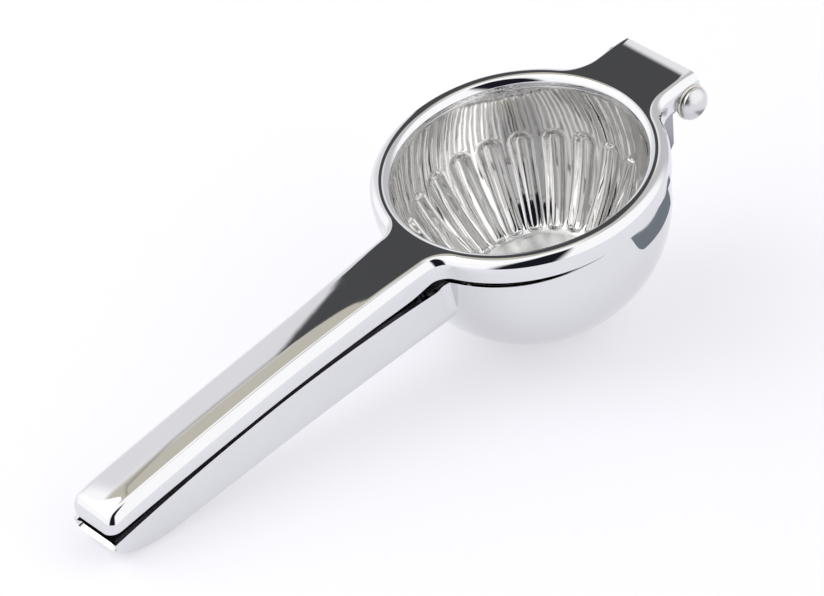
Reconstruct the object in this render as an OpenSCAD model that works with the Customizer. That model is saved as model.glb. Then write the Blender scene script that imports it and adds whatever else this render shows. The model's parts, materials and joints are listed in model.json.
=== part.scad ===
// Lever lemon squeezer in pressed and polished steel, lying closed on a table.
// The ring, handles and bowl are drawn in the tool's own frame: the ring's centre on
// its flat top is the origin, the hinge is towards +X and the handles towards -X.
// Each body is then laid down so that the bowl and the lower handle's tip touch z = 0,
// with the bowl's contact point at the origin.

/* [Ring] */
// Radius of the ring's opening
mouth_r = 35; // [30:0.5:42]
// Width of the ring band
ring_w = 6; // [5.8:0.1:9]
// Depth of the folded skirt under the flat top
skirt = 7; // [6:0.1:9]
// Rounding of the outer top edges
edge_r = 3; // [2:0.1:3.1]
// Rounding of the ring's inner lip
lip_r = 2.5; // [1.6:0.1:2.6]
// Depth of the inner lip
lip_drop = 2.9; // [2.7:0.1:3.2]
// Thickness of the upper lever's sheet
sheet = 1.4; // [1:0.1:1.6]

/* [Upper handle] */
// Width of both handles
handle_w = 16; // [13:0.5:20]
// Ring centre to the upper handle's tip
handle_reach = 156; // [130:1:190]
// Radius of the handle's gentle downward bow
bow_r = 1450; // [900:10:3000]
// Radius of the concave corners where the handle leaves the ring
root_blend = 6; // [4:0.5:9]

/* [Hinge] */
// Width of the hinge plate over its two ears
plate_w = 24.8; // [22:0.2:30]
// Distance of the hinge pin's axis from the ring's outer edge
pin_stand = 9.8; // [9:0.2:15]
// Hinge pin's axis below the flat top
pin_drop = 7.2; // [6.8:0.1:9]
// Radius of the ears round the pin
ear_r = 4.5; // [4:0.1:5.2]
// Radius of the concave waist between the ring and the hinge plate
waist_blend = 9; // [6:0.5:9]
// Diameter of the hinge pin's shank
pin_d = 4.8; // [4:0.1:5.4]
// Diameter of the pin's heads
head_d = 9.5; // [8:0.1:11]
// Straight rim of a pin head
head_rim = 0.9; // [0.5:0.1:1.5]
// Height of a pin head's dome above its rim
head_dome = 2.4; // [1.5:0.1:3.2]
// How far the pin's end sits in the far head
head_socket = 1.4; // [0.8:0.1:2]
// Diameter of the washers under the heads
washer_d = 10.2; // [8.5:0.1:12]
// Thickness of the washers
washer_t = 0.7; // [0.4:0.1:1.2]
// Thickness of the lower bracket's sheet
bracket_t = 1.6; // [1.2:0.1:2]
// Height of the lower bracket on the bowl, measured down from the pin
bracket_h = 15; // [11:0.5:18]
// Distance of the bracket's rear wall from the bowl
bracket_stand = 7; // [6:0.2:8]
// Wall of the spacer tube on the pin
spacer_wall = 1.3; // [0.8:0.1:1.5]
// Lean of the ring off the bowl's rim when the tool is closed, in degrees
closed_lean = 1.7; // [1.4:0.1:3]

/* [Press cup] */
// Depth of the cup's floor below the flat top
cup_depth = 41.6; // [38:0.1:43]
// Thickness of the cup's sheet
cup_t = 1.2; // [0.8:0.1:1.4]
// Radius of the cup's curved wall, seen in section
wall_r = 56; // [52:0.5:62]
// Number of flutes pressed into the wall
flute_count = 22; // [16:1:22]
// Radius of a flute's section
flute_r = 3.4; // [2.8:0.1:3.5]
// Depth of a flute in the wall
flute_deep = 1.2; // [0.8:0.1:1.4]
// Depth of a flute's upper end below the flat top
flute_from = 17; // [14:0.5:19]
// Height of a flute's lower end above the cup's floor
flute_to = 1.5; // [1:0.1:3]
// Turn of the first flute from the hinge, in degrees
flute_turn = 0.8; // [0:0.1:8]
// Overlap of the cup's flange under the ring's lip
flange_w = 3.2; // [2:0.1:3.4]

/* [Bowl] */
// Thickness of the bowl's wall
bowl_t = 1.2; // [0.8:0.1:1.6]
// Depth of the bowl from its rim
bowl_depth = 45.1; // [43:0.5:52]
// Radius of the bowl's rounded corner
knuckle_r = 30; // [24:0.5:32]
// Radius of the bowl's domed bottom
crown_r = 55; // [48:1:70]
// Room between the bowl's rim and the ring's skirt around it
nest_gap = 1; // [0.6:0.1:1.6]
// How far the rim would reach into the skirt with ring and rim parallel
rim_nest = 1.1; // [0.6:0.1:1.4]
// Diameter of the juice holes
juice_hole_d = 4.5; // [3:0.1:5]
// Radius of the inner circle of juice holes
inner_holes_r = 7; // [6:0.1:8]
// Radius of the outer circle of juice holes
outer_holes_r = 14.5; // [13.5:0.1:15.5]

/* [Lower handle] */
// Thickness of the lower handle's sheet
low_t = 1.2; // [0.8:0.1:1.6]
// Depth of the channel at the bowl
low_depth = 15; // [12:0.5:17]
// Height of the channel's wall at its tip
tip_wall = 2.35; // [1.5:0.05:4]
// Rounding of the channel's lower edges
low_edge_r = 3; // [2:0.1:4]
// Radius of the upturned tip, seen from the side
prow_r = 29; // [24:1:34]
// Slope of the upturned tip at its end, in degrees
prow_lift = 34.7; // [30:0.1:38]
// How far the lower tip stays behind the upper one
tip_setback = 2; // [0:0.5:5]
// Length of the bowl's neck that the handle is welded to
neck_len = 6; // [5:0.5:9]
// Radius of the concave corners beside the neck
neck_blend = 5; // [3:0.5:6]

/* [Clearances] */
// Radial running clearance of the bracket and spacer on the pin
run_gap = 0.05; // [0.02:0.01:0.1]
// Side gap between the bracket's cheeks and the ears
cheek_gap = 0.4; // [0.3:0.05:0.8]

/* [Hidden] */
$fn = 96;
over = 1;
weld = 0.03;
bite = 0.15;
bow_fn = 1800;

ring_r = mouth_r + ring_w;
half_w = handle_w / 2;
plate_half = plate_w / 2;
pin_reach = ring_r + pin_stand;
plate_end = pin_reach + ear_r - bite;
band_mid = (mouth_r + lip_r + ring_r - edge_r) / 2;
tip_turn = (handle_reach - edge_r - band_mid) / bow_r * 180 / PI;
tip_start = [-band_mid - bow_r * sin(tip_turn), bow_r * (cos(tip_turn) - 1) - weld];
pin_r = pin_d / 2;

// The lower body's sizes, in its own frame with its rim parallel to the ring
bowl_r = ring_r - sheet - nest_gap;
rim_z = rim_nest - skirt;
bowl_bottom = rim_z - bowl_depth;
crown_z = bowl_bottom + crown_r;
knuckle_z = crown_z - sqrt((crown_r - knuckle_r) ^ 2 - (bowl_r - knuckle_r) ^ 2) - weld;
neck_x = sqrt(bowl_r ^ 2 - half_w ^ 2) + neck_len;
low_z = rim_z - low_depth;
low_tip = handle_reach - tip_setback;
tip_rim = sqrt((bow_r + rim_z) ^ 2 - (low_tip - band_mid) ^ 2) - bow_r;

// The channel's underside: a straight run from the neck that touches the upturned tip's arc
run_start = [-neck_x, low_z];
prow_axis = [-low_tip, tip_rim - tip_wall] + prow_r * [sin(prow_lift), cos(prow_lift)];
prow_way = prow_axis - run_start;
low_rise = atan2(prow_way[0], prow_way[1]) + acos(prow_r / norm(prow_way));
prow_turn = prow_lift - low_rise;
run_end = prow_axis - prow_r * [sin(low_rise), cos(low_rise)];
run_len = norm(run_end - run_start);

// The table's slope in the lower body's frame: a line that touches the bowl's dome and
// the upturned tip from below
rest_span = [-prow_axis[0], crown_z - prow_axis[1]];
rest_pitch = asin((crown_r - prow_r) / norm(rest_span)) - atan2(rest_span[1], rest_span[0]);

// The cup's wall in section: one arc from the lip to the floor, and the flutes' arc inside it
wall_axis = [mouth_r - wall_r, -lip_drop];
flute_arc = wall_r + flute_deep - flute_r;
flute_high = asin((wall_axis[1] + flute_from + flute_r) / flute_arc);
flute_low = asin((wall_axis[1] + cup_depth - flute_to - flute_r) / flute_arc);

cheek_out = plate_half - sheet - cheek_gap;
cheek_in = cheek_out - bracket_t;
bracket_x = bowl_r + bracket_stand;
eye_r = pin_r + run_gap + bracket_t;
head_y = plate_half + washer_t;

// Laying the two bodies down on the table

module lay_lower() {
    translate([crown_z * sin(rest_pitch), 0, crown_r - crown_z * cos(rest_pitch)])
        rotate([0, -rest_pitch, 0])
            children();
}

module lay_upper() {
    lay_lower()
        at_pin()
            rotate([0, closed_lean, 0])
                translate([-pin_reach, 0, pin_drop])
                    children();
}

module at_pin() {
    translate([pin_reach, 0, -pin_drop])
        children();
}

// A cylinder along Y from y0 to y1, on the local origin
module along_y(y0, y1, r) {
    translate([0, y1, 0])
        rotate([90, 0, 0])
            cylinder(r = r, h = y1 - y0);
}

module both_sides() {
    children();
    mirror([0, 1, 0])
        children();
}

// Pressed forms of the upper lever: o is the inset, 0 for the outside of the sheet and
// one sheet for the hollow under it

function inset_r(r, o) = max(r - o, 0.2);

module ring_band(o, low) {
    in_r = inset_r(lip_r, o);
    out_r = inset_r(edge_r, o);
    rotate_extrude() {
        translate([mouth_r + o + in_r, -low])
            square([ring_w - 2 * o - in_r - out_r, low - o]);
        translate([mouth_r + o, -low])
            square([in_r + weld, low - o - in_r]);
        translate([ring_r - o - out_r - weld, -low])
            square([out_r + weld, low - o - out_r]);
        translate([mouth_r + o + in_r, -o - in_r])
            circle(in_r);
        translate([ring_r - o - out_r, -o - out_r])
            circle(out_r);
    }
}

// Section across a handle or plate: flat top, rounded edges, open skirt
module channel_section(half, o, low) {
    r = inset_r(edge_r, o);
    translate([-half + o, -low])
        square([2 * (half - o), low - o - r]);
    translate([-half + o + r, -low])
        square([2 * (half - o - r), low - o]);
    for (s = [-1, 1])
        translate([s * (half - o - r), -o - r])
            circle(r);
}

module along_x(x0, x1) {
    translate([x0, 0, 0])
        rotate([90, 0, 90])
            linear_extrude(x1 - x0)
                children();
}

// The bowed handle and its rounded tip: x runs from the tip's start back to the ring
module bowed_handle(o, low) {
    r = inset_r(edge_r, o);
    flat = half_w - edge_r;
    translate([tip_start[0], 0, tip_start[1]])
        rotate([0, -tip_turn, 0]) {
            translate([0, 0, -bow_r])
                rotate([-90, -90, 0])
                    rotate_extrude(angle = tip_turn, $fn = bow_fn)
                        translate([bow_r, 0])
                            rotate(-90)
                                channel_section(half_w, o, low);
            translate([-r, -flat, -low])
                cube([r, 2 * flat, low - edge_r]);
            translate([0, 0, -edge_r])
                along_y(-flat, flat, r);
            for (s = [-1, 1])
                translate([0, s * flat, 0]) {
                    translate([0, 0, -low])
                        cylinder(r = r, h = low - edge_r);
                    translate([0, 0, -edge_r])
                        sphere(r);
                }
        }
}

// Concave corner between the ring and a straight side at y = half
module corner_web(half, blend, o, low) {
    axis = [sqrt((ring_r + blend) ^ 2 - (half + blend) ^ 2), half + blend];
    start = axis * band_mid / norm(axis);
    r = inset_r(edge_r, o);
    cut_r = blend + o + bite;
    difference() {
        translate([0, 0, -low])
            linear_extrude(low - o)
                polygon([start, axis, [axis[0], half / 2]]);
        translate(axis)
            rotate_extrude() {
                translate([0, -low - over])
                    square([cut_r, low + 2 * over]);
                difference() {
                    translate([cut_r - weld, -o - r])
                        square([r + weld, r + over]);
                    translate([cut_r + r, -o - r])
                        circle(r);
                }
            }
    }
}

module lever_form(o, low, tail) {
    ring_band(o, low);
    bowed_handle(o, low);
    along_x(band_mid, plate_end + tail)
        channel_section(plate_half, o, low);
    both_sides()
        corner_web(plate_half, waist_blend, o, low);
    mirror([1, 0, 0])
        both_sides()
            corner_web(half_w, root_blend, o, low);
}

// Sub-parts

module upper_lever() {
    color("silver")
        lay_upper()
            difference() {
                union() {
                    lever_form(0, skirt, 0);
                    both_sides()
                        at_pin()
                            along_y(plate_half - sheet, plate_half, ear_r);
                }
                lever_form(sheet, skirt + over, over);
                translate([0, 0, -skirt - over])
                    cylinder(r = mouth_r + sheet, h = skirt + over - lip_drop);
                at_pin()
                    along_y(-plate_half - over, plate_half + over, pin_r);
            }
}

// The cup's shape inside a wall that stands out by t
module cup_form(t, top) {
    rotate_extrude()
        intersection() {
            translate(wall_axis)
                circle(wall_r + t);
            translate([0, -cup_depth - t])
                square([ring_r, top + cup_depth + t]);
        }
}

// All the flutes, each a bar bent along the wall with round ends, thickened by t
module flutes(t) {
    for (i = [0 : flute_count - 1])
        rotate([0, 0, flute_turn + i * 360 / flute_count])
            translate([wall_axis[0], 0, wall_axis[1]])
                rotate([0, flute_high, 0]) {
                    rotate([90, 0, 0])
                        rotate_extrude(angle = flute_high - flute_low)
                            translate([flute_arc, 0])
                                circle(flute_r + t);
                    translate([flute_arc, 0, 0])
                        sphere(flute_r + t - weld);
                    rotate([0, flute_low - flute_high, 0])
                        translate([flute_arc, 0, 0])
                            sphere(flute_r + t - weld);
                }
}

module press_cup() {
    color("gainsboro")
        lay_upper()
            difference() {
                union() {
                    cup_form(cup_t, -lip_drop);
                    translate([0, 0, -lip_drop - cup_t])
                        cylinder(r = mouth_r + flange_w, h = cup_t);
                    flutes(cup_t);
                }
                cup_form(0, over);
                flutes(0);
            }
}

// The bowl's outside, shrunk by t: a straight wall, a rounded corner and a domed bottom
module bowl_form(t, top) {
    dome_x = crown_r * (bowl_r - knuckle_r) / (crown_r - knuckle_r);
    rotate_extrude() {
        translate([0, knuckle_z])
            square([bowl_r - t, top - knuckle_z]);
        intersection() {
            translate([bowl_r - knuckle_r, knuckle_z])
                circle(knuckle_r - t);
            translate([0, bowl_bottom])
                square([bowl_r, bowl_depth]);
        }
        intersection() {
            translate([0, crown_z])
                circle(crown_r - t);
            translate([0, bowl_bottom - over])
                square([dome_x, knuckle_z - bowl_bottom + over]);
        }
    }
}

module juice_holes() {
    for (ring = [[inner_holes_r, 6], [outer_holes_r, 12]])
        for (i = [0 : ring[1] - 1])
            rotate([0, 0, (i + 0.5) * 360 / ring[1]])
                translate([ring[0], 0, bowl_bottom - over])
                    cylinder(d = juice_hole_d, h = bowl_depth / 2);
}

// Channel section standing on z = 0, with its lower edges rounded
module trough_section(o, tall) {
    r = inset_r(low_edge_r, o);
    translate([-half_w + o, o + r])
        square([2 * (half_w - o), tall - o - r]);
    translate([-half_w + o + r, o])
        square([2 * (half_w - o - r), tall - o]);
    for (s = [-1, 1])
        translate([s * (half_w - o - r), o + r])
            circle(r);
}

// The handle's sloping underside: x runs along it from the upturned tip to the neck
module on_run() {
    translate([run_end[0], 0, run_end[1]])
        rotate([0, low_rise, 0])
            children();
}

module trough_run(o, from, to) {
    along_x(from, to)
        trough_section(o, low_depth + over);
}

module neck() {
    axis = [-sqrt((bowl_r + neck_blend) ^ 2 - (half_w + neck_blend) ^ 2), half_w + neck_blend];
    start = axis * (bowl_r - bowl_t / 2) / norm(axis);
    both_sides()
        difference() {
            translate([0, 0, low_z + low_edge_r])
                linear_extrude(rim_z - low_z - low_edge_r)
                    polygon([start, axis, [axis[0], half_w - low_t / 2],
                             [start[0], half_w - low_t / 2]]);
            translate([axis[0], axis[1], low_z])
                cylinder(r = neck_blend + bite, h = low_depth + over);
        }
    difference() {
        on_run()
            trough_run(0, run_len, run_len + neck_len + over);
        on_run()
            trough_run(low_t, run_len - over, run_len + neck_len + 2 * over);
        translate([-neck_x - over, -handle_w, rim_z])
            cube([neck_x, 2 * handle_w, low_depth]);
    }
}

module bowl() {
    color("lightgray")
        lay_lower()
            difference() {
                union() {
                    bowl_form(0, rim_z);
                    neck();
                }
                bowl_form(bowl_t, rim_z + over);
                juice_holes();
            }
}

module lower_trough(o, end) {
    on_run() {
        trough_run(o, 0, end);
        translate([0, 0, prow_r])
            rotate([-90, 90, 0])
                rotate_extrude(angle = prow_turn)
                    translate([prow_r, 0])
                        rotate(90)
                            trough_section(o, low_depth + over);
    }
}

module lower_handle() {
    color("lightgray")
        lay_lower()
            intersection() {
                difference() {
                    lower_trough(0, run_len);
                    lower_trough(low_t, run_len + over);
                }
                translate([-band_mid, 0, -bow_r])
                    rotate([90, 0, 0])
                        cylinder(r = bow_r + rim_z, h = 2 * handle_w, center = true, $fn = 2 * bow_fn);
            }
}

// The bracket seen from the side: an eye round the pin and a leg down the bowl's back
module cheek_outline() {
    eye_low = -pin_drop - eye_r + bracket_t;
    foot = -pin_drop - bracket_h;
    front = bowl_r / 2;
    translate([pin_reach, -pin_drop])
        circle(eye_r);
    polygon([[front, foot],
             [bracket_x - bracket_t, foot],
             [bracket_x, foot + bracket_t],
             [bracket_x + bracket_t, eye_low - bracket_t],
             [pin_reach, -pin_drop - eye_r / 2],
             [pin_reach, -pin_drop + eye_r / 2],
             [front, rim_z - bracket_t]]);
}

module hinge_bracket() {
    hollow_top = -pin_drop - eye_r;
    hollow_foot = -pin_drop - bracket_h - over;
    color("darkgray")
        lay_lower()
            difference() {
                translate([0, cheek_out, 0])
                    rotate([90, 0, 0])
                        linear_extrude(2 * cheek_out)
                            cheek_outline();
                translate([0, cheek_in, 0])
                    rotate([90, 0, 0])
                        linear_extrude(2 * cheek_in)
                            polygon([[0, hollow_foot], [bracket_x - bracket_t, hollow_foot],
                                     [bracket_x, hollow_top], [plate_end + over, hollow_top],
                                     [plate_end + over, 0], [0, 0]]);
                bowl_form(0, 0);
                at_pin()
                    along_y(-plate_half, plate_half, pin_r + run_gap);
            }
}

// A domed head lying on z = 0
module pin_head() {
    dome_r = ((head_d / 2) ^ 2 + head_dome ^ 2) / (2 * head_dome);
    cylinder(d = head_d, h = head_rim);
    intersection() {
        translate([0, 0, head_rim + head_dome - dome_r])
            sphere(dome_r);
        translate([0, 0, head_rim])
            cylinder(d = head_d, h = head_dome + over);
    }
}

module hinge_pin() {
    color("silver")
        lay_upper()
            at_pin() {
                along_y(-head_y, head_y + head_socket, pin_r);
                translate([0, -head_y, 0])
                    rotate([90, 0, 0])
                        pin_head();
            }
}

module far_pin_head() {
    color("silver")
        lay_upper()
            at_pin()
                difference() {
                    translate([0, head_y, 0])
                        rotate([-90, 0, 0])
                            pin_head();
                    along_y(head_y - over, head_y + head_socket, pin_r);
                }
}

module washer_ring() {
    difference() {
        along_y(plate_half, head_y, washer_d / 2);
        along_y(plate_half - over, head_y + over, pin_r);
    }
}

module near_washer() {
    color("wheat")
        lay_upper()
            at_pin()
                mirror([0, 1, 0])
                    washer_ring();
}

module far_washer() {
    color("wheat")
        lay_upper()
            at_pin()
                washer_ring();
}

module hinge_spacer() {
    color("gray")
        lay_lower()
            at_pin()
                difference() {
                    along_y(-cheek_in, cheek_in, pin_r + run_gap + spacer_wall);
                    along_y(-cheek_in - over, cheek_in + over, pin_r + run_gap);
                }
}

upper_lever();
press_cup();
bowl();
lower_handle();
hinge_bracket();
hinge_pin();
far_pin_head();
near_washer();
far_washer();
hinge_spacer();
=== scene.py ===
import json
import math

import bmesh
import bpy
from mathutils import Matrix, Vector


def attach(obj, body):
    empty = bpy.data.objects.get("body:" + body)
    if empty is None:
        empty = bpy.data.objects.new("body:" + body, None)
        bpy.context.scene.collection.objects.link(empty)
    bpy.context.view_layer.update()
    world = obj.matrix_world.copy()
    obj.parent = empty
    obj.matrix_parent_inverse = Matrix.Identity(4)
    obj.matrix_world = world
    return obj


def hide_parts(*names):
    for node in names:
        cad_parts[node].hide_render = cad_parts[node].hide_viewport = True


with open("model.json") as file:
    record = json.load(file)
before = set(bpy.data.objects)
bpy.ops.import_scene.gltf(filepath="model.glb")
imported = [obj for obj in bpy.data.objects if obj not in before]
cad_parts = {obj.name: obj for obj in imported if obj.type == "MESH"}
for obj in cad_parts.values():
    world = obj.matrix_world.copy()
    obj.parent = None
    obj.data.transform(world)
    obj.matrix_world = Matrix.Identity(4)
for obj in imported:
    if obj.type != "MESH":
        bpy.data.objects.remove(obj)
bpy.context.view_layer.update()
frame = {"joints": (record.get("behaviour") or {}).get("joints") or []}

# The tool is drawn in millimetres: the ring's centre on its flat top is the origin, the
# hinge is towards +X, and each body is then laid down on the table about the hinge pin.
PIN_AT = Vector((50.8, 0.0, -7.2))
PIN_LAID = Vector(frame["joints"][0]["pos_m"])
RING_TILT = 12.061853
BOWL_TILT = 13.761853


def laid_down(tilt):
    """From the drawing's millimetres to a body's place on the table."""
    return (Matrix.Translation(PIN_LAID) @ Matrix.Rotation(math.radians(-tilt), 4, "Y")
            @ Matrix.Scale(0.001, 4) @ Matrix.Translation(-PIN_AT))


UPPER = laid_down(RING_TILT)
LOWER = laid_down(BOWL_TILT)
ALONG_PIN = Matrix.Translation(PIN_AT) @ Matrix.Rotation(math.radians(90), 4, "X")

# Ring, handles and hinge plate
MOUTH_R, RING_R, LIP_R, LIP_DROP = 35.0, 41.0, 2.5, 2.9
EDGE_R, SKIRT = 3.0, 6.3
HALF_W, HANDLE_TIP, TIP_CORNER = 8.55, -155.75, 3.4
BAND_MID, BOW = 37.75, 2900.0
CROWN_R = 46.0
FLANGE_TIP, FLANGE_GAIN = 5.8, 0.01485
CURL_FROM, CURL, DROOP_FROM, DROOP = -146.5, 70.0, 50.0, 76.0
FLARE_FROM, FLARE = -97.0, 0.0034
PLATE_HALF, PLATE_END, EAR_R = 14.6, 55.15, 4.5
WAIST, WAIST_R = Vector((44.08, 23.6)), 9.0
ROOT, ROOT_R = Vector((-44.24, 15.86)), 6.0

# Press cup
CUP_FLOOR, FLUTES, FLUTE_TURN = -41.6, 22, 0.8
WALL_R, FLOOR_R, FLAT_R = 56.0, 6.0, 18.5
FLUTE_FROM, FLUTE_TO, FLUTE_DEEP = 18.1, 42.0, 1.6
FLUTE_WIDE, FLUTE_NARROW = 3.5, 2.6
FLUTE_STEPS = 18

# Bowl and lower handle
RIM_Z, RIM_DIP = -5.95, 0.8
ROUND, ROUND_R, HOLED_R = Vector((0.7, -11.95)), 39.0, 18.9
HOLE_R, HOLES_Z, HOLE_RINGS = 2.25, -47.6, ((6, 7.0), (12, 14.5))
RIM_ARCH, RIM_TOP, RIM_MID = 1180.0, -4.85, -102.0
NECK_X, LOW_Z, LOW_EDGE_R, WELD_R = -41.2, -20.976, 3.0, 3.0
RUN_END, PROW_R, NOSE_R = Vector((-138.355, -18.082)), 29.0, 8.0
RUN_RISE, PROW_LIFT, NOSE_LIFT = math.radians(1.7066), math.radians(31), math.radians(64)

# Hinge
HEAD_Y, HEAD_R, HEAD_RIM, HEAD_DOME = 15.5, 4.75, 0.9, 2.4
PEENED_RIM, PEENED_DOME = 0.5, 0.5
PIN_R, WASHER_R, WASHER_T, WASHER_SOFT = 2.4, 5.1, 0.6, 0.15
SPACER_BORE, SPACER_R, SPACER_HALF, SPACER_SOFT = 2.45, 3.75, 9.0, 0.2
EYE_R, CHEEK_Y, CHEEK_T = 4.05, 10.6, 1.6
FOOT_X, FOOT_Z, BACK_X, BACK_TOP, BACK_HALF = 36.9, -22.2, 44.0, -11.4, 9.4

# Sheets and softened rims, in metres
LEVER_SHEET, DRAWN_SHEET, HANDLE_SHEET = 0.0011, 0.0012, 0.0014
SOFT_RIM, CUP_RIM, BRACKET_RIM = 0.00015, 0.00012, 0.0002


def arc(centre, radius, start, end, steps):
    """Points on an arc in a plane, from one angle to another in degrees."""
    turns = [math.radians(start + (end - start) * i / steps) for i in range(steps + 1)]
    return [(centre[0] + radius * math.cos(a), centre[1] + radius * math.sin(a)) for a in turns]


def ease(value, low, high):
    t = min(max((value - low) / (high - low), 0.0), 1.0)
    return t * t * (3 - 2 * t)


def half_width(x):
    """Both handles widen a little towards the ring."""
    return HALF_W + FLARE * max(x - FLARE_FROM, 0.0) ** 1.5


def placed(name, data):
    obj = bpy.data.objects.new(name, data)
    bpy.context.collection.objects.link(obj)
    return obj


def placed_shape(name, bm):
    mesh = bpy.data.meshes.new(name)
    bm.to_mesh(mesh)
    bm.free()
    return placed(name, mesh)


def verts_of(geom):
    return [g for g in geom if isinstance(g, bmesh.types.BMVert)]


def once_each(things):
    """Each thing once, in the order in which it first comes."""
    return list(dict.fromkeys(things))


def grown_rim(bm, rim):
    """Extrudes an open rim in place and gives its new edges."""
    grown = bmesh.ops.extrude_edge_only(bm, edges=rim)["geom"]
    return [g for g in grown if isinstance(g, bmesh.types.BMEdge)
            and all(v in grown for v in g.verts)]


def face_outwards(bm):
    """Turns an open shell's faces so that its lowest one looks down."""
    bmesh.ops.recalc_face_normals(bm, faces=bm.faces)
    low = min(bm.faces, key=lambda f: f.calc_center_median().z)
    if low.normal.z > 0:
        bmesh.ops.reverse_faces(bm, faces=bm.faces)


def turned(profile, steps):
    """A profile of (radius, height) points spun round the Z axis."""
    bm = bmesh.new()
    verts = [bm.verts.new((r, 0, z)) for r, z in profile]
    edges = [bm.edges.new(pair) for pair in zip(verts, verts[1:])]
    bmesh.ops.spin(bm, geom=verts + edges, cent=(0, 0, 0), axis=(0, 0, 1),
                   angle=2 * math.pi, steps=steps, use_merge=True)
    bmesh.ops.remove_doubles(bm, verts=bm.verts, dist=0.0005)
    bmesh.ops.recalc_face_normals(bm, faces=bm.faces)
    return bm


def steel_piece(bm, name, place, body, finish, node=None, wall=0.0, rim=0.0,
                inside=None, patch=None):
    """Lays a shape down in the tool's place and gives it its sheet and its finish."""
    bmesh.ops.transform(bm, matrix=place, verts=bm.verts)
    for face in bm.faces:
        face.smooth = True
    piece = placed_shape(name, bm)
    coats = piece.data.materials
    coats.append(finish)
    if patch:
        coats.append(patch)
    if wall:
        sheet = piece.modifiers.new("sheet", "SOLIDIFY")
        sheet.thickness = wall
        sheet.offset = -1.0
        sheet.use_even_offset = True
        # The sheet's inner faces take the inside finish; on the lever and the channel that is dark
        # painted shade.
        if inside:
            coats.append(inside)
            sheet.material_offset = 1
    if rim:
        edge = piece.modifiers.new("rim", "BEVEL")
        edge.width = rim
        edge.segments = 2
        edge.limit_method = "ANGLE"
        edge.angle_limit = math.radians(50)
        edge.harden_normals = True
    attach(piece, body)
    if node:
        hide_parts(node)


# Upper lever: ring, handle and hinge plate pressed from one sheet

def lever_outline():
    waist_turn = math.degrees(math.atan2(WAIST.y, WAIST.x))
    root_turn = math.degrees(math.atan2(ROOT.y, ROOT.x))
    far_side = [(60.0, PLATE_HALF)]
    far_side += arc(WAIST, WAIST_R, -90, waist_turn - 180, 14)
    far_side += arc((0, 0), RING_R, waist_turn, root_turn, 120)[1:-1]
    far_side += arc(ROOT, ROOT_R, root_turn - 180, -90, 12)
    far_side += [(x, half_width(x)) for x in range(-50, -101, -5)]
    tip = (HANDLE_TIP + TIP_CORNER, HALF_W - TIP_CORNER)
    far_side += arc(tip, TIP_CORNER, 90, 180, 12)
    return far_side + [(x, -y) for x, y in reversed(far_side)]


def slice_across(bm, axis, stations, geom=None):
    normal = Vector((1, 0, 0)) if axis == "x" else Vector((0, 1, 0))
    for at in stations:
        part = geom() if geom else bm.verts[:] + bm.edges[:] + bm.faces[:]
        bmesh.ops.bisect_plane(bm, geom=part, dist=1e-4, plane_co=normal * at, plane_no=normal)


def flat_faces(bm, low, high):
    """The flat top's faces between two stations along the tool, with their edges and corners."""
    faces = [f for f in bm.faces if f.normal.z > 0.999 and all(v.co.z > -1e-4 for v in f.verts)
             and low < f.calc_center_median().x < high]
    verts = once_each(v for f in faces for v in f.verts)
    edges = once_each(e for f in faces for e in f.edges)
    return verts + edges + faces


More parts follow.
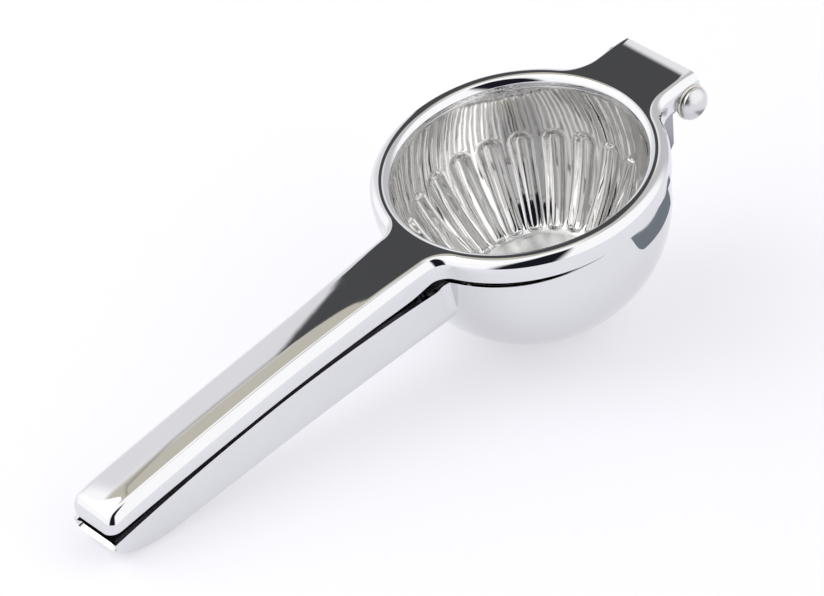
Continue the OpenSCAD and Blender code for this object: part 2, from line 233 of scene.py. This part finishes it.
def upper_lever_shape():
    bm = bmesh.new()
    top = bm.faces.new([bm.verts.new((x, y, -EDGE_R)) for x, y in lever_outline()])
    if top.normal.z < 0:
        bmesh.ops.reverse_faces(bm, faces=[top])
    rim = top.edges[:]
    for z in (-4.0, -5.0, -6.0, -SKIRT):
        rim = grown_rim(bm, rim)
        for v in once_each(v for e in rim for v in e.verts):
            v.co.z = z
    turns = [math.radians(90 * i / 10) for i in range(11)]
    for a, b in zip(turns, turns[1:]):
        bmesh.ops.inset_region(bm, faces=[top], use_boundary=True, use_even_offset=True,
                               thickness=EDGE_R * (math.cos(a) - math.cos(b)),
                               depth=EDGE_R * (math.sin(b) - math.sin(a)))
    bmesh.ops.inset_region(bm, faces=[top], use_boundary=True, use_even_offset=True,
                           thickness=0.22, depth=0.0)
    bmesh.ops.recalc_face_normals(bm, faces=bm.faces)
    slice_across(bm, "x", (-42.0, 43.5), lambda: flat_faces(bm, -200, 200))
    band = [f for f in flat_faces(bm, -20, 20) if isinstance(f, bmesh.types.BMFace)
            and f.calc_area() > 500][0]
    outer = band.edges[:]
    bmesh.ops.delete(bm, geom=[band], context="FACES_ONLY")
    mouth = bmesh.ops.create_circle(bm, cap_ends=False, segments=264, radius=MOUTH_R + LIP_R + 0.15)
    lip = once_each(e for v in mouth["verts"] for e in v.link_edges)
    bmesh.ops.triangle_fill(bm, edges=outer + lip, use_beauty=True, use_dissolve=False)
    lip = [e for e in lip if e.is_valid]
    for turn in [0] + [90 * i / 9 for i in range(1, 10)] + [None]:
        lip = grown_rim(bm, lip)
        a = math.radians(90 if turn is None else turn)
        radius = MOUTH_R + LIP_R - LIP_R * math.sin(a)
        height = -LIP_DROP if turn is None else LIP_R * (math.cos(a) - 1)
        for v in once_each(v for e in lip for v in e.verts):
            side = v.co.xy.normalized() * radius
            v.co = (side.x, side.y, height)
    slice_across(bm, "x", [-41.0 - 2.4 * i for i in range(47)])
    slice_across(bm, "y", [-4 + i for i in range(9)], lambda: flat_faces(bm, -200, -42))
    slice_across(bm, "x", [45.6 + 0.45 * i for i in range(22)])
    slice_across(bm, "y", [-10 + 2 * i for i in range(11)], lambda: flat_faces(bm, 43.5, 60))
    bmesh.ops.bisect_plane(bm, geom=bm.verts[:] + bm.edges[:] + bm.faces[:], dist=1e-4,
                           plane_co=(PLATE_END, 0, 0), plane_no=(1, 0, 0), clear_outer=True)
    bmesh.ops.remove_doubles(bm, verts=bm.verts, dist=0.01)
    for v in bm.verts:
        x, y, z = v.co
        up = min(max((z + SKIRT) / (SKIRT - EDGE_R), 0.0), 1.0)
        if x < -BAND_MID:
            if z < -EDGE_R:
                flange = FLANGE_TIP + FLANGE_GAIN * (x - HANDLE_TIP)
                deeper = ease(x, -41, -52) * (flange - SKIRT) / (SKIRT - EDGE_R)
                v.co.z += (z + EDGE_R) * deeper
            v.co.z -= (x + BAND_MID) ** 2 / BOW
            v.co.z -= up * ease(x, -46, -80) * y * y / (2 * CROWN_R)
        if x < CURL_FROM:
            v.co.z -= up * (x - CURL_FROM) ** 2 / CURL
        if x > DROOP_FROM:
            v.co.z -= up * (x - DROOP_FROM) ** 2 / DROOP
        beside = EAR_R ** 2 - (x - PIN_AT.x) ** 2
        if beside > 0 and z < -EDGE_R:
            foot = PIN_AT.z - math.sqrt(beside)
            v.co.z = -EDGE_R + (z + EDGE_R) * (foot + EDGE_R) / (EDGE_R - SKIRT)
    bmesh.ops.recalc_face_normals(bm, faces=bm.faces)
    return bm


# Press cup: a turned cup whose cone is pressed into flutes

def slope_out(turn):
    a = math.radians(turn)
    return Vector((math.cos(a), -math.sin(a)))


def cup_wall():
    """The wall's points from the lip to the floor, with their slope and their way down it."""
    axis = Vector((MOUTH_R - WALL_R, -LIP_DROP))
    low = math.degrees(math.asin((axis.y - CUP_FLOOR - FLOOR_R) / (WALL_R - FLOOR_R)))
    corner = axis + (WALL_R - FLOOR_R) * slope_out(low)
    turns = [low * i / 84 for i in range(85)]
    wall = [(axis + WALL_R * slope_out(turn), turn, turn) for turn in turns]
    for i in range(1, 15):
        turn = (90 - low) * i / 15
        point = corner + FLOOR_R * slope_out(low + turn)
        wall.append((point, low + turn, low + turn * FLOOR_R / WALL_R))
    return wall


def flute_depth(down, across):
    """Depth of a flute at a place down the wall and across it."""
    t = min(max((down - FLUTE_FROM) / (FLUTE_TO - FLUTE_FROM), 0.0), 1.0)
    width = FLUTE_WIDE + (FLUTE_NARROW - FLUTE_WIDE) * t
    past = math.radians(down - min(max(down, FLUTE_FROM), FLUTE_TO)) * WALL_R
    return FLUTE_DEEP * ease(width - math.hypot(past, across), 0.0, 0.75 * width)


def press_cup_shape():
    wall = cup_wall()
    profile = [(38.0, -2.92), (35.7, -2.92), (35.25, -2.94)]
    profile += [tuple(p) for p, slope, down in wall[1:]]
    profile += [(r, CUP_FLOOR) for r in (16.6, 14, 10.5, 7, 3.5, 0)]
    bm = turned(profile, FLUTES * FLUTE_STEPS)
    pitch = 2 * math.pi / FLUTES
    stations = {round(p.y, 3): (slope, down) for p, slope, down in wall[12:]}
    for v in bm.verts:
        slope, down = stations.get(round(v.co.z, 3), (0.0, 0.0))
        turn = math.atan2(v.co.y, v.co.x) - math.radians(FLUTE_TURN)
        turn -= pitch * round(turn / pitch)
        out = slope_out(slope) * flute_depth(down, v.co.xy.length * math.sin(turn))
        side = v.co.xy.normalized()
        v.co += Vector((side.x * out.x, side.y * out.x, out.y))
    inward = [f for f in bm.faces if f.calc_center_median().xy.length < 10 and f.normal.z < 0]
    if inward:
        bmesh.ops.reverse_faces(bm, faces=bm.faces)
    # The flat floor takes the second finish: brushed steel whose lighter tone is a painted highlight.
    for face in bm.faces:
        face.material_index = int(face.calc_center_median().xy.length < FLAT_R)
    return bm


# Bowl with its juice holes

def bowl_shape():
    wall = [(ROUND.x + ROUND_R, z) for z in (RIM_Z, RIM_Z - 0.3, -8.5, -10.2)]
    low = -math.degrees(math.acos((HOLED_R - ROUND.x) / ROUND_R))
    bm = turned(wall + arc(ROUND, ROUND_R, 0, low, 44), 192)
    for v in bm.verts:
        if v.co.z > RIM_Z - 1:
            v.co.z -= RIM_DIP * ease(v.co.x, -5, -38)
    rim = [e for e in bm.edges if e.is_boundary and all(v.co.z < -40 for v in e.verts)]
    bore = []
    for count, radius in HOLE_RINGS:
        for i in range(count):
            turn = (i + 0.5) * 2 * math.pi / count
            at = Matrix.Translation((radius * math.cos(turn), radius * math.sin(turn), HOLES_Z))
            hole = bmesh.ops.create_circle(bm, segments=28, radius=HOLE_R, matrix=at)
            bore += once_each(e for v in hole["verts"] for e in v.link_edges)
    filled = bmesh.ops.triangle_fill(bm, edges=rim + bore, use_beauty=True, use_dissolve=False)
    spans = [g for g in filled["geom"] if isinstance(g, bmesh.types.BMEdge) and not g.is_boundary
             and g not in rim]
    bmesh.ops.subdivide_edges(bm, edges=spans, cuts=3, use_grid_fill=True)
    for v in bm.verts:
        if v.co.xy.length < HOLED_R + 0.05:
            out = max(v.co.xy.length - ROUND.x, 0.0)
            v.co.z = ROUND.y - math.sqrt(ROUND_R ** 2 - out * out)
    face_outwards(bm)
    return bm


# Lower handle: a channel that follows the upper one and turns up at its tip

def rim_at(x):
    """Height of the channel's rim: an arch that rises to the bowl's rim at the neck."""
    arch = RIM_TOP - (x - RIM_MID) ** 2 / RIM_ARCH
    return arch + ease(x, NECK_X - 2, -37) * (RIM_Z - RIM_DIP - arch)


def trough_point(along, round_part):
    """Across the channel: 0 is the far rim, 0.5 the middle of the floor, 1 the near rim."""
    x, z = along
    wall = max(rim_at(x) - z, LOW_EDGE_R + 0.1)
    half = half_width(x)
    flat = half - LOW_EDGE_R
    side = 1 if round_part < 0.5 else -1
    t = min(round_part, 1 - round_part) * 2
    if t < 0.4:
        y, up = half, wall + (LOW_EDGE_R - wall) * t / 0.4
    elif t < 0.7:
        a = math.radians(90 * (t - 0.4) / 0.3)
        y, up = flat + LOW_EDGE_R * math.cos(a), LOW_EDGE_R * (1 - math.sin(a))
    else:
        y, up = flat * (1 - (t - 0.7) / 0.3), 0.0
    return Vector((x, side * y, z + up))


def up_from(start, radius, lift, turn):
    """A point on an arc that leaves a start at one lift and has turned up to another."""
    centre = start + radius * Vector((math.sin(lift), math.cos(lift)))
    return centre - radius * Vector((math.sin(turn), math.cos(turn)))


def trough_spine(t):
    """A point on the underside's middle line: the long run, the prow and the nose."""
    run = (RUN_END - Vector((NECK_X, LOW_Z))).length
    bend = PROW_R * (PROW_LIFT - RUN_RISE)
    at = t * (run + bend + NOSE_R * (NOSE_LIFT - PROW_LIFT))
    if at <= run:
        return Vector((NECK_X - at * math.cos(RUN_RISE), LOW_Z + at * math.sin(RUN_RISE)))
    if at <= run + bend:
        return up_from(RUN_END, PROW_R, RUN_RISE, RUN_RISE + (at - run) / PROW_R)
    nose = up_from(RUN_END, PROW_R, RUN_RISE, PROW_LIFT)
    return up_from(nose, NOSE_R, PROW_LIFT, PROW_LIFT + (at - run - bend) / NOSE_R)


def lower_handle_shape():
    bm = bmesh.new()
    bmesh.ops.create_grid(bm, x_segments=150, y_segments=60, size=0.5)
    for v in bm.verts:
        v.co = trough_point(trough_spine(v.co.x + 0.5), v.co.y + 0.5)
    for v in bm.verts:
        v.co.z = min(v.co.z, rim_at(v.co.x))
    face_outwards(bm)
    return bm


def neck_shape():
    """The bowl's short neck: the channel's section, opening in a fillet on to the bowl's wall."""
    bm = bmesh.new()
    bmesh.ops.create_grid(bm, x_segments=24, y_segments=60, size=0.5)
    for v in bm.verts:
        t, part = v.co.x + 0.5, v.co.y + 0.5
        p = trough_point((NECK_X, LOW_Z), part)
        wall = ROUND.x + math.sqrt(ROUND_R ** 2 - max(ROUND.y - p.z, 0.0) ** 2) + WELD_R
        start = -math.sqrt(wall ** 2 - (abs(p.y) + WELD_R) ** 2)
        full = math.asin(-start / wall)
        at = t * (start - NECK_X + 0.3 + WELD_R * full)
        turn = max(at - (start - NECK_X + 0.3), 0.0) / WELD_R
        up = min(max((p.z - LOW_Z) / LOW_EDGE_R, 0.0), 1.0)
        x = NECK_X + at - WELD_R * turn + WELD_R * (up * math.sin(turn) + (1 - up) * turn)
        y = abs(p.y) + up * WELD_R * (1 - math.cos(turn))
        v.co = (x, math.copysign(y, p.y), p.z + (rim_at(x) - rim_at(NECK_X)) * up)
    face_outwards(bm)
    return bm


# Hinge

def hinge_bracket_shape():
    bm = bmesh.new()
    eye = arc((PIN_AT.x, PIN_AT.z), EYE_R, -100, 150, 28)
    outline = [(FOOT_X, FOOT_Z), (BACK_X, FOOT_Z), (45.6, -20.6), (47.2, -11.25)]
    outline += eye + [(FOOT_X, -7.5)]
    side = bm.faces.new([bm.verts.new((x, -CHEEK_Y, z)) for x, z in outline])
    thick = bmesh.ops.extrude_face_region(bm, geom=[side])["geom"]
    bmesh.ops.translate(bm, vec=(0, CHEEK_T, 0), verts=verts_of(thick))
    other = bmesh.ops.duplicate(bm, geom=bm.verts[:] + bm.edges[:] + bm.faces[:])["geom"]
    bmesh.ops.scale(bm, vec=(1, -1, 1), verts=verts_of(other))
    back = bmesh.ops.create_cube(bm, size=1.0)["verts"]
    for v in back:
        high, rear = v.co.z > 0, v.co.x > 0
        x = (47.1 if high else BACK_X) - (0 if rear else CHEEK_T)
        v.co = (x, v.co.y * 2 * BACK_HALF, BACK_TOP if high else FOOT_Z)
    bmesh.ops.recalc_face_normals(bm, faces=bm.faces)
    return bm


def head_profile(rim, dome):
    """Half a rivet head's section: a domed cap on a short straight rim."""
    round_r = (HEAD_R ** 2 + dome ** 2) / (2 * dome)
    spread = math.degrees(math.asin(HEAD_R / round_r))
    cap = arc((0, rim + dome - round_r), round_r, 90, 90 - spread * 0.97, 24)
    return cap + [(HEAD_R - 0.03, rim - 0.1), (HEAD_R, rim - 0.25), (HEAD_R - 0.05, 0.15),
                  (HEAD_R - 0.25, 0.0), (0, 0)]


def pin_shape():
    bm = turned(head_profile(HEAD_RIM, HEAD_DOME), 72)
    bmesh.ops.translate(bm, vec=(0, 0, HEAD_Y), verts=bm.verts)
    bmesh.ops.create_cone(bm, segments=48, radius1=PIN_R, radius2=PIN_R, depth=2 * HEAD_Y,
                          cap_ends=True)
    return bm


def far_head_shape():
    """The pin's far end, peened down flat over its washer."""
    bm = turned(head_profile(PEENED_RIM, PEENED_DOME), 72)
    bmesh.ops.scale(bm, vec=(1, 1, -1), verts=bm.verts)
    bmesh.ops.translate(bm, vec=(0, 0, -PLATE_HALF - WASHER_T), verts=bm.verts)
    bmesh.ops.recalc_face_normals(bm, faces=bm.faces)
    return bm


def ring_shape(inner, outer, low, high, soft):
    profile = [(inner, low), (outer - soft, low), (outer, low + soft), (outer, high - soft),
               (outer - soft, high), (inner, high), (inner, low)]
    return turned(profile, 64)


# Finishes

def steel(name, tone, rough_low, rough_high, bump, scale):
    finish = bpy.data.materials.new(name)
    finish.use_nodes = True
    nodes, links = finish.node_tree.nodes, finish.node_tree.links
    shader = nodes["Principled BSDF"]
    shader.inputs["Metallic"].default_value = 1.0
    place = nodes.new("ShaderNodeTexCoord")
    smear = nodes.new("ShaderNodeTexNoise")
    smear.inputs["Scale"].default_value = scale
    smear.inputs["Detail"].default_value = 6.0
    links.new(place.outputs["Object"], smear.inputs["Vector"])
    rough = nodes.new("ShaderNodeMapRange")
    rough.inputs["To Min"].default_value = rough_low
    rough.inputs["To Max"].default_value = rough_high
    links.new(smear.outputs["Fac"], rough.inputs["Value"])
    links.new(rough.outputs["Result"], shader.inputs["Roughness"])
    shade = nodes.new("ShaderNodeValToRGB")
    shade.color_ramp.elements[0].color = (*[c * 0.96 for c in tone], 1)
    shade.color_ramp.elements[1].color = (*tone, 1)
    links.new(smear.outputs["Fac"], shade.inputs["Fac"])
    links.new(shade.outputs["Color"], shader.inputs["Base Color"])
    wave = nodes.new("ShaderNodeTexNoise")
    wave.inputs["Scale"].default_value = scale * 3
    wave.inputs["Detail"].default_value = 2.0
    links.new(place.outputs["Object"], wave.inputs["Vector"])
    lift = nodes.new("ShaderNodeBump")
    lift.inputs["Strength"].default_value = bump
    lift.inputs["Distance"].default_value = 0.0002
    links.new(wave.outputs["Fac"], lift.inputs["Height"])
    links.new(lift.outputs["Normal"], shader.inputs["Normal"])
    return finish


# Polished steel: its faint blue is a painted reflection of the floor's lilac shadow.
polished = steel("polished steel", (0.77, 0.77, 0.785), 0.02, 0.06, 0.02, 60.0)
drawn = steel("drawn cup steel", (0.70, 0.695, 0.69), 0.03, 0.07, 0.35, 30.0)
plain = steel("plain steel", (0.42, 0.42, 0.44), 0.16, 0.26, 0.05, 200.0)
satin = steel("satin steel", (0.72, 0.72, 0.73), 0.24, 0.32, 0.03, 120.0)
# The cup's floor: rougher, brushed steel with a lighter tone than the wall, a painted highlight that
# makes the floor read white.
brushed_floor_highlight = steel("brushed cup floor with painted highlight", (0.92, 0.92, 0.92), 0.2, 0.3, 0.03, 120.0)
# Inside of the lever and the channel: rougher, less polished steel whose near-black tone is painted
# shade, so the gap between the handles reads black.
unpolished_painted_shade = steel("unpolished inside with painted shade", (0.16, 0.16, 0.17), 0.3, 0.42, 0.05, 200.0)
washer_steel = steel("washer steel", (0.70, 0.68, 0.62), 0.1, 0.2, 0.05, 200.0)

steel_piece(upper_lever_shape(), "lever_pressing", UPPER, "upper", polished,
            node="upper_lever", wall=LEVER_SHEET, rim=SOFT_RIM, inside=unpolished_painted_shade)
steel_piece(press_cup_shape(), "fluted_cup", UPPER, "upper", drawn,
            node="press_cup", wall=DRAWN_SHEET, rim=CUP_RIM, patch=brushed_floor_highlight)
steel_piece(bowl_shape(), "juice_bowl", LOWER, "lower", polished,
            node="bowl", wall=DRAWN_SHEET, rim=SOFT_RIM)
steel_piece(neck_shape(), "bowl_neck", LOWER, "lower", polished,
            wall=DRAWN_SHEET, rim=SOFT_RIM)
steel_piece(lower_handle_shape(), "channel_handle", LOWER, "lower", polished,
            node="lower_handle", wall=HANDLE_SHEET, rim=SOFT_RIM, inside=unpolished_painted_shade)
steel_piece(hinge_bracket_shape(), "bracket_cheeks", LOWER, "lower", plain,
            node="hinge_bracket", rim=BRACKET_RIM)
steel_piece(pin_shape(), "domed_pin", UPPER @ ALONG_PIN, "upper", satin,
            node="hinge_pin")
steel_piece(far_head_shape(), "far_dome", UPPER @ ALONG_PIN, "upper", satin,
            node="far_pin_head")
for side, low in (("near", PLATE_HALF), ("far", -PLATE_HALF - WASHER_T)):
    washer = ring_shape(PIN_R, WASHER_R, low, low + WASHER_T, WASHER_SOFT)
    steel_piece(washer, "washer_" + side, UPPER @ ALONG_PIN, "upper", washer_steel,
                node=side + "_washer")
spacer = ring_shape(SPACER_BORE, SPACER_R, -SPACER_HALF, SPACER_HALF, SPACER_SOFT)
steel_piece(spacer, "spacer_tube", LOWER @ ALONG_PIN, "lower", plain,
            node="hinge_spacer")

# Camera, from the photograph's own view, with its place and directions in the tool's frame

CAMERA_AT = Vector((-492.31, -661.20, 691.31))
tool_turn = Matrix.Rotation(math.radians(-RING_TILT), 3, "Y")
look = Vector((0.42, 0.619, -0.663)).normalized()
right = Vector((0.718, -0.674, -0.174))
right = (right - look * right.dot(look)).normalized()
up = right.cross(look)
camera = placed("photo_view", bpy.data.cameras.new("photo_view"))
axes = Matrix((tool_turn @ right, tool_turn @ up, tool_turn @ -look)).transposed().to_4x4()
camera.matrix_world = Matrix.Translation(UPPER @ CAMERA_AT) @ axes
camera.data.lens = 174.757
camera.data.sensor_width = 36.0
camera.data.sensor_fit = "HORIZONTAL"
camera.data.clip_end = 20.0
bpy.context.scene.camera = camera

# Studio: white floor and a white tent with a few darker openings

floor_shape = bmesh.new()
bmesh.ops.create_grid(floor_shape, x_segments=1, y_segments=1, size=3.0)
floor = placed_shape("floor", floor_shape)
floor_paper = bpy.data.materials.new("floor paper")
floor_paper.use_nodes = True
nodes, links = floor_paper.node_tree.nodes, floor_paper.node_tree.links
paper = nodes["Principled BSDF"]
paper.inputs["Base Color"].default_value = (0.5, 0.5, 0.55, 1)
paper.inputs["Roughness"].default_value = 0.9
paper.inputs["Specular IOR Level"].default_value = 0.0
glow = nodes.new("ShaderNodeEmission")
glow.inputs["Color"].default_value = (1, 1, 1, 1)
path = nodes.new("ShaderNodeLightPath")
seen = nodes.new("ShaderNodeMath")
seen.operation = "MAXIMUM"
links.new(path.outputs["Is Camera Ray"], seen.inputs[0])
links.new(path.outputs["Is Glossy Ray"], seen.inputs[1])
clear = nodes.new("ShaderNodeMath")
clear.operation = "MAXIMUM"
links.new(seen.outputs[0], clear.inputs[0])
links.new(path.outputs["Is Transmission Ray"], clear.inputs[1])
level = nodes.new("ShaderNodeMath")
level.operation = "MULTIPLY"
level.inputs[1].default_value = 0.48
links.new(clear.outputs[0], level.inputs[0])
links.new(level.outputs[0], glow.inputs["Strength"])
both = nodes.new("ShaderNodeAddShader")
links.new(paper.outputs[0], both.inputs[0])
links.new(glow.outputs[0], both.inputs[1])
links.new(both.outputs[0], nodes["Material Output"].inputs["Surface"])
floor.data.materials.append(floor_paper)

# A curved card on the floor beside the bowl that glows slate grey and only reflections show: a painted
# reflection, the grey on the bowl's side and on the hinge bracket
CARD_FROM, CARD_TURN, CARD_MID, CARD_LIFT = -57, 53, 0.102, 0.0005

card_shape = bmesh.new()
edge = [card_shape.verts.new((r, 0, CARD_LIFT)) for r in (CARD_MID - 0.002, CARD_MID + 0.003)]
bmesh.ops.rotate(card_shape, verts=edge, cent=(0, 0, 0),
                 matrix=Matrix.Rotation(math.radians(CARD_FROM), 3, "Z"))
bmesh.ops.spin(card_shape, geom=edge + [card_shape.edges.new(edge)], cent=(0, 0, 0),
               axis=(0, 0, 1), angle=math.radians(CARD_TURN), steps=48)
for v in card_shape.verts:
    turn = math.degrees(math.atan2(v.co.y, v.co.x))
    wider = min(max((turn + 54) / 46, 0.0), 1.0)
    outer = 0.1045 + 0.014 * wider
    inner = outer - (0.0165 + 0.010 * wider) * ease(turn, -58, -46)
    side = v.co.xy.normalized() * (inner if v.co.xy.length < CARD_MID else outer)
    v.co = (side.x, side.y, v.co.z)
card = placed_shape("painted reflection card", card_shape)
reflection_glow = bpy.data.materials.new("painted reflection card")
reflection_glow.use_nodes = True
nodes, links = reflection_glow.node_tree.nodes, reflection_glow.node_tree.links
# The card's grey glow comes from no lamp: it is painted reflection.
glow = nodes.new("ShaderNodeEmission")
glow.inputs["Color"].default_value = (0.2, 0.225, 0.255, 1)
links.new(glow.outputs[0], nodes["Material Output"].inputs["Surface"])
card.data.materials.append(reflection_glow)
card.visible_camera = False
card.visible_diffuse = False
card.visible_shadow = False

world = bpy.data.worlds.new("studio")
bpy.context.scene.world = world
world.use_nodes = True
nodes, links = world.node_tree.nodes, world.node_tree.links
sky = nodes["Background"]
coord = nodes.new("ShaderNodeTexCoord")
split = nodes.new("ShaderNodeSeparateXYZ")
links.new(coord.outputs["Generated"], split.inputs[0])


def math_node(operation, a, b=None):
    node = nodes.new("ShaderNodeMath")
    node.operation = operation
    for slot, value in enumerate((a, b)):
        if value is None:
            continue
        if isinstance(value, (int, float)):
            node.inputs[slot].default_value = value
        else:
            links.new(value, node.inputs[slot])
    return node.outputs[0]


def soft_window(value, low, high, soft):
    """1 inside a range, 0 outside, with soft edges."""
    up = nodes.new("ShaderNodeMapRange")
    up.interpolation_type = "SMOOTHSTEP"
    up.inputs["From Min"].default_value = low - soft
    up.inputs["From Max"].default_value = low + soft
    links.new(value, up.inputs["Value"])
    down = nodes.new("ShaderNodeMapRange")
    down.interpolation_type = "SMOOTHSTEP"
    down.inputs["From Min"].default_value = high + soft
    down.inputs["From Max"].default_value = high - soft
    links.new(value, down.inputs["Value"])
    return math_node("MULTIPLY", up.outputs[0], down.outputs[0])


def hang(base, mask, colour):
    """Hangs a colour over the tent where the mask is 1."""
    mix = nodes.new("ShaderNodeMix")
    mix.data_type = "RGBA"
    links.new(mask, mix.inputs["Factor"])
    if isinstance(base, tuple):
        mix.inputs["A"].default_value = (*base, 1)
    else:
        links.new(base, mix.inputs["A"])
    mix.inputs["B"].default_value = (*colour, 1)
    return mix.outputs["Result"]


# Each opening is set by its azimuth and its height over the floor, in degrees
turn_round = math_node("ARCTAN2", split.outputs["Y"], split.outputs["X"])
azimuth = math_node("MULTIPLY", turn_round, math.degrees(1))
height = math_node("MULTIPLY", math_node("ARCSINE", split.outputs["Z"]), math.degrees(1))

tent = hang((1.25, 1.25, 1.25), soft_window(azimuth, -14, 44, 14), (0.66, 0.66, 0.68))
far_grey = math_node("MULTIPLY", soft_window(azimuth, 50, 90, 8), soft_window(height, 6, 54, 6))
tent = hang(tent, far_grey, (0.9, 0.9, 0.93))
beige = math_node("MULTIPLY", soft_window(azimuth, 40, 110, 10), soft_window(height, 53, 72, 2))
tent = hang(tent, beige, (0.65, 0.62, 0.53))


def past(value, start, rate):
    """How far a value lies past a start, times a rate, and never below 0."""
    return math_node("MULTIPLY", math_node("MAXIMUM", math_node("SUBTRACT", value, start), 0.0), rate)


# The dark fold on the far side: how far below its upper edge a place lies, and how deep it hangs
towards_hinge = math_node("MULTIPLY", azimuth, -1.0)
fold = math_node("ADD", past(azimuth, 80.0, 1.2), past(towards_hinge, -72.4, 0.5))
below = math_node("SUBTRACT", math_node("ADD", fold, 53.0), height)
depth = math_node("MAXIMUM", past(towards_hinge, -73.5, 6.0), 0.7)
dark_far = math_node("MULTIPLY", soft_window(azimuth, 54, 90, 2), soft_window(below, 0.0, 90, 0.4))
shade_end = nodes.new("ShaderNodeMapRange")
shade_end.interpolation_type = "SMOOTHSTEP"
shade_end.inputs["From Min"].default_value = -3.0
shade_end.inputs["From Max"].default_value = 4.0
links.new(math_node("SUBTRACT", depth, below), shade_end.inputs["Value"])
tent = hang(tent, math_node("MULTIPLY", dark_far, shade_end.outputs[0]), (0.08, 0.081, 0.085))

# A black slot on the near side, beside the camera
dark_near = math_node("MULTIPLY", soft_window(azimuth, -160, -114, 6), soft_window(height, -40, 80, 4))
tent = hang(tent, dark_near, (0.012, 0.012, 0.02))
links.new(tent, sky.inputs["Color"])
sky.inputs["Strength"].default_value = 1.0

lamp = placed("soft box", bpy.data.lights.new("soft box", "AREA"))
lamp.data.shape = "SQUARE"
lamp.data.size = 0.9
lamp.data.energy = 3.0
lamp.location = (-0.7, 0.5, 0.9)
lamp.rotation_euler = lamp.location.to_track_quat("Z", "Y").to_euler()

bpy.context.scene.view_settings.view_transform = "Standard"
